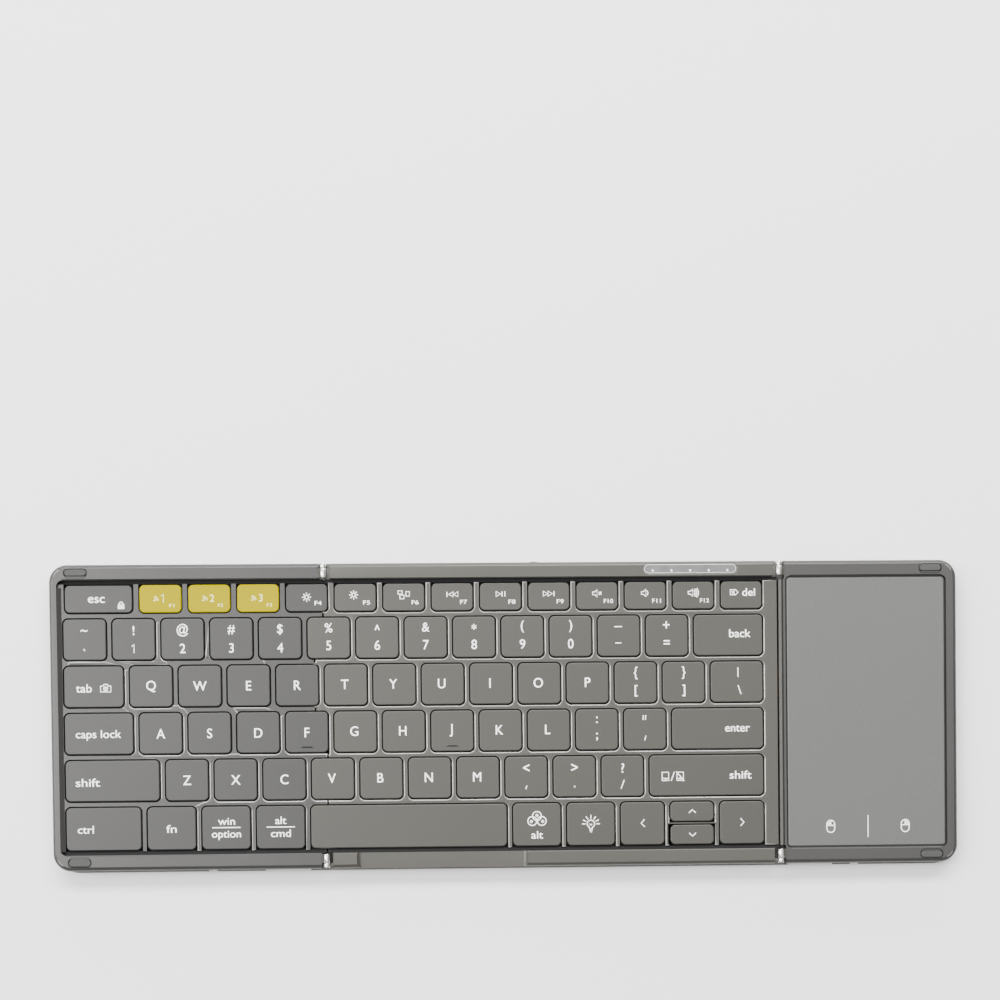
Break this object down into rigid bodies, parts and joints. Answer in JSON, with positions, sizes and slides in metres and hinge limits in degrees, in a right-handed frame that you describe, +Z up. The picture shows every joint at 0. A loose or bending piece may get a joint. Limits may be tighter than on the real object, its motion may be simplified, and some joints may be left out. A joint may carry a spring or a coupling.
{
  "type": "folding keyboard",
  "caption": "Pocket keyboard in three boards with a touchpad wing; both wings fold over the middle on rail hinges while their leather back covers slide along.",
  "frame": {"origin": "middle of the underside of the flat, open keyboard, on the surface it lies on", "axes": "+X along the width towards the touchpad, +Y towards the rear edge with the function keys, +Z up out of the keys"},
  "size_m": [0.305, 0.1036, 0.0092],
  "materials": {
    "silver_plastic": "satin moulded plastic, warm silver grey",
    "back_plastic": "fine sparkling satin, warm grey",
    "rim_plastic": "satin moulded plastic",
    "leather": "grey pebbled leather",
    "key_grey": "satin grey key caps with white legends",
    "key_yellow": "satin yellow key caps",
    "steel": "bright steel",
    "plate_steel": "plain sheet steel",
    "rubber": "soft grey rubber",
    "window": "milky translucent plastic",
    "touchpad": "fine matt sheet",
    "circuit": "green solder mask",
    "cell": "foil pouch",
    "film": "clear printed film",
    "support_white": "white moulded plastic",
    "cable": "amber polyimide",
    "knob": "black plastic"
  },
  "bodies": {
    "middle": {"middle_frame": "silver_plastic", "middle_base": "back_plastic", "middle_board": "rim_plastic", "middle_leather": "leather", "middle_support_plate": "plate_steel", "middle_membrane": "film", "middle_key_supports": "support_white", "main_circuit_board": "circuit", "charging_port": "plate_steel", "indicator_window": "window", "middle_hinge_knuckles": "steel", "hinge_pins": "steel", "middle_screws": "plate_steel", "left_flat_cable": "cable", "right_flat_cable": "cable"},
    "left_wing": {"left_frame": "silver_plastic", "left_base": "back_plastic", "left_support_plate": "plate_steel", "left_membrane": "film", "left_key_supports": "support_white", "left_hinge_knuckles": "steel", "left_bumpers": "rubber"},
    "right_wing": {"right_frame": "silver_plastic", "right_base": "back_plastic", "touchpad": "touchpad", "touchpad_board": "circuit", "battery": "cell", "right_hinge_knuckles": "steel", "right_bumpers": "rubber"},
    "left_cover": {"left_cover_board": "rim_plastic", "left_cover_leather": "leather"},
    "right_cover": {"right_cover_board": "rim_plastic", "right_cover_leather": "leather"},
    "left_spine": {"left_spine_leather": "leather"},
    "right_spine": {"right_spine_leather": "leather"},
    "switch_knob": {"power_switch": "knob"},
    "escape_key_body": {"escape_key": "key_grey"},
    "yellow_function_keys_body": {"yellow_function_keys": "key_yellow"},
    "brightness_key_body": {"brightness_key": "key_grey"},
    "left_number_keys_body": {"left_number_keys": "key_grey"},
    "tab_and_letter_keys_body": {"tab_and_letter_keys": "key_grey"},
    "caps_and_letter_keys_body": {"caps_and_letter_keys": "key_grey"},
    "left_shift_key_body": {"left_shift_key": "key_grey"},
    "left_lower_letter_keys_body": {"left_lower_letter_keys": "key_grey"},
    "left_command_keys_body": {"left_command_keys": "key_grey"},
    "middle_function_keys_body": {"middle_function_keys": "key_grey"},
    "middle_number_keys_body": {"middle_number_keys": "key_grey"},
    "backspace_key_body": {"backspace_key": "key_grey"},
    "upper_letter_keys_body": {"upper_letter_keys": "key_grey"},
    "home_letter_keys_body": {"home_letter_keys": "key_grey"},
    "enter_key_body": {"enter_key": "key_grey"},
    "lower_letter_keys_body": {"lower_letter_keys": "key_grey"},
    "right_shift_key_body": {"right_shift_key": "key_grey"},
    "space_bar_body": {"space_bar": "key_grey"},
    "right_command_keys_body": {"right_command_keys": "key_grey"},
    "left_arrow_key_body": {"left_arrow_key": "key_grey"},
    "up_arrow_key_body": {"up_arrow_key": "key_grey"},
    "down_arrow_key_body": {"down_arrow_key": "key_grey"},
    "right_arrow_key_body": {"right_arrow_key": "key_grey"}
  },
  "joints": [
    {"name": "left_fold", "type": "hinge", "parent": "middle", "child": "left_wing", "pos_m": [-0.0611, 0, 0.0081], "axis": [0, 1, 0], "range_deg": [0, 180], "deforming": ["left_flat_cable"]},
    {"name": "right_fold", "type": "hinge", "parent": "middle", "child": "right_wing", "pos_m": [0.0921, 0, 0.0081], "axis": [0, -1, 0], "range_deg": [0, 180], "deforming": ["right_flat_cable"]},
    {"name": "left_cover_slide", "type": "slide", "parent": "left_wing", "child": "left_cover", "axis": [1, 0, 0], "range_m": [0, 0.0274]},
    {"name": "right_cover_slide", "type": "slide", "parent": "right_wing", "child": "right_cover", "axis": [-1, 0, 0], "range_m": [0, 0.0214]},
    {"name": "left_spine_fold", "type": "hinge", "parent": "middle", "child": "left_spine", "pos_m": [-0.0671, 0, 0.0008], "axis": [0, 1, 0], "range_deg": [0, 90]},
    {"name": "right_spine_fold", "type": "hinge", "parent": "middle", "child": "right_spine", "pos_m": [0.0951, 0, 0.0008], "axis": [0, -1, 0], "range_deg": [0, 90]},
    {"name": "power_slide", "type": "slide", "parent": "middle", "child": "switch_knob", "axis": [1, 0, 0], "range_m": [0, 0.002]},
    {"name": "escape_key_press", "type": "slide", "parent": "left_wing", "child": "escape_key_body", "axis": [0, 0, -1], "range_m": [0, 0.0012], "stiffness_N_per_m": 350, "deforming": ["left_key_supports"]},
    {"name": "yellow_function_keys_press", "type": "slide", "parent": "left_wing", "child": "yellow_function_keys_body", "axis": [0, 0, -1], "range_m": [0, 0.0012], "stiffness_N_per_m": 350, "deforming": ["left_key_supports"]},
    {"name": "brightness_key_press", "type": "slide", "parent": "left_wing", "child": "brightness_key_body", "axis": [0, 0, -1], "range_m": [0, 0.0012], "stiffness_N_per_m": 350, "deforming": ["left_key_supports"]},
    {"name": "left_number_keys_press", "type": "slide", "parent": "left_wing", "child": "left_number_keys_body", "axis": [0, 0, -1], "range_m": [0, 0.0012], "stiffness_N_per_m": 350, "deforming": ["left_key_supports"]},
    {"name": "tab_and_letter_keys_press", "type": "slide", "parent": "left_wing", "child": "tab_and_letter_keys_body", "axis": [0, 0, -1], "range_m": [0, 0.0012], "stiffness_N_per_m": 350, "deforming": ["left_key_supports"]},
    {"name": "caps_and_letter_keys_press", "type": "slide", "parent": "left_wing", "child": "caps_and_letter_keys_body", "axis": [0, 0, -1], "range_m": [0, 0.0012], "stiffness_N_per_m": 350, "deforming": ["left_key_supports"]},
    {"name": "left_shift_key_press", "type": "slide", "parent": "left_wing", "child": "left_shift_key_body", "axis": [0, 0, -1], "range_m": [0, 0.0012], "stiffness_N_per_m": 350, "deforming": ["left_key_supports"]},
    {"name": "left_lower_letter_keys_press", "type": "slide", "parent": "left_wing", "child": "left_lower_letter_keys_body", "axis": [0, 0, -1], "range_m": [0, 0.0012], "stiffness_N_per_m": 350, "deforming": ["left_key_supports"]},
    {"name": "left_command_keys_press", "type": "slide", "parent": "left_wing", "child": "left_command_keys_body", "axis": [0, 0, -1], "range_m": [0, 0.0012], "stiffness_N_per_m": 350, "deforming": ["left_key_supports"]},
    {"name": "middle_function_keys_press", "type": "slide", "parent": "middle", "child": "middle_function_keys_body", "axis": [0, 0, -1], "range_m": [0, 0.0012], "stiffness_N_per_m": 350, "deforming": ["middle_key_supports"]},
    {"name": "middle_number_keys_press", "type": "slide", "parent": "middle", "child": "middle_number_keys_body", "axis": [0, 0, -1], "range_m": [0, 0.0012], "stiffness_N_per_m": 350, "deforming": ["middle_key_supports"]},
    {"name": "backspace_key_press", "type": "slide", "parent": "middle", "child": "backspace_key_body", "axis": [0, 0, -1], "range_m": [0, 0.0012], "stiffness_N_per_m": 350, "deforming": ["middle_key_supports"]},
    {"name": "upper_letter_keys_press", "type": "slide", "parent": "middle", "child": "upper_letter_keys_body", "axis": [0, 0, -1], "range_m": [0, 0.0012], "stiffness_N_per_m": 350, "deforming": ["middle_key_supports"]},
    {"name": "home_letter_keys_press", "type": "slide", "parent": "middle", "child": "home_letter_keys_body", "axis": [0, 0, -1], "range_m": [0, 0.0012], "stiffness_N_per_m": 350, "deforming": ["middle_key_supports"]},
    {"name": "enter_key_press", "type": "slide", "parent": "middle", "child": "enter_key_body", "axis": [0, 0, -1], "range_m": [0, 0.0012], "stiffness_N_per_m": 350, "deforming": ["middle_key_supports"]},
    {"name": "lower_letter_keys_press", "type": "slide", "parent": "middle", "child": "lower_letter_keys_body", "axis": [0, 0, -1], "range_m": [0, 0.0012], "stiffness_N_per_m": 350, "deforming": ["middle_key_supports"]},
    {"name": "right_shift_key_press", "type": "slide", "parent": "middle", "child": "right_shift_key_body", "axis": [0, 0, -1], "range_m": [0, 0.0012], "stiffness_N_per_m": 350, "deforming": ["middle_key_supports"]},
    {"name": "space_bar_press", "type": "slide", "parent": "middle", "child": "space_bar_body", "axis": [0, 0, -1], "range_m": [0, 0.0012], "stiffness_N_per_m": 350, "deforming": ["middle_key_supports"]},
    {"name": "right_command_keys_press", "type": "slide", "parent": "middle", "child": "right_command_keys_body", "axis": [0, 0, -1], "range_m": [0, 0.0012], "stiffness_N_per_m": 350, "deforming": ["middle_key_supports"]},
    {"name": "left_arrow_key_press", "type": "slide", "parent": "middle", "child": "left_arrow_key_body", "axis": [0, 0, -1], "range_m": [0, 0.0012], "stiffness_N_per_m": 350, "deforming": ["middle_key_supports"]},
    {"name": "up_arrow_key_press", "type": "slide", "parent": "middle", "child": "up_arrow_key_body", "axis": [0, 0, -1], "range_m": [0, 0.0012], "stiffness_N_per_m": 350, "deforming": ["middle_key_supports"]},
    {"name": "down_arrow_key_press", "type": "slide", "parent": "middle", "child": "down_arrow_key_body", "axis": [0, 0, -1], "range_m": [0, 0.0012], "stiffness_N_per_m": 350, "deforming": ["middle_key_supports"]},
    {"name": "right_arrow_key_press", "type": "slide", "parent": "middle", "child": "right_arrow_key_body", "axis": [0, 0, -1], "range_m": [0, 0.0012], "stiffness_N_per_m": 350, "deforming": ["middle_key_supports"]}
  ],
  "couplings": [
    {"joint": "left_cover_slide", "follows": "left_fold", "m_per_rad": 0.0087217},
    {"joint": "right_cover_slide", "follows": "right_fold", "m_per_rad": 0.0068118},
    {"joint": "left_spine_fold", "follows": "left_fold", "ratio": 0.5},
    {"joint": "right_spine_fold", "follows": "right_fold", "ratio": 0.5}
  ]
}
